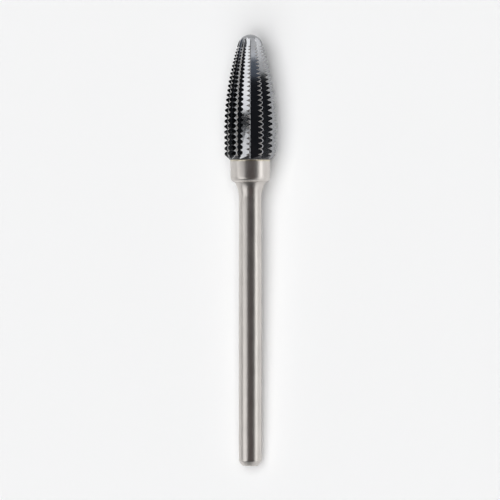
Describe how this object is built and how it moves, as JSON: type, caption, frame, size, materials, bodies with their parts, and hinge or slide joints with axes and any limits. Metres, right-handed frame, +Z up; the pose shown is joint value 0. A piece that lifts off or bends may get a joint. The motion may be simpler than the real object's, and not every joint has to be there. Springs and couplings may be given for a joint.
{
  "type": "carbide burr",
  "caption": "Straight rotary cutter with a pointed, cross-cut carbide head brazed to a plain steel shank, lying on its side.",
  "frame": {"origin": "middle of the underside of the bounding box, on the level ground that the burr lies on", "axes": "+Y along the burr from the free end of the shank to the nose, +Z up; the burr's own axis rises 2.5 degrees towards the nose"},
  "size_m": [0.0052, 0.0444, 0.0053],
  "materials": {
    "steel": "satin",
    "silver_braze": "satin",
    "carbide": "polished"
  },
  "bodies": {
    "root": {"shank": "steel", "braze_joint": "silver_braze", "cutting_head": "carbide"}
  },
  "joints": []
}
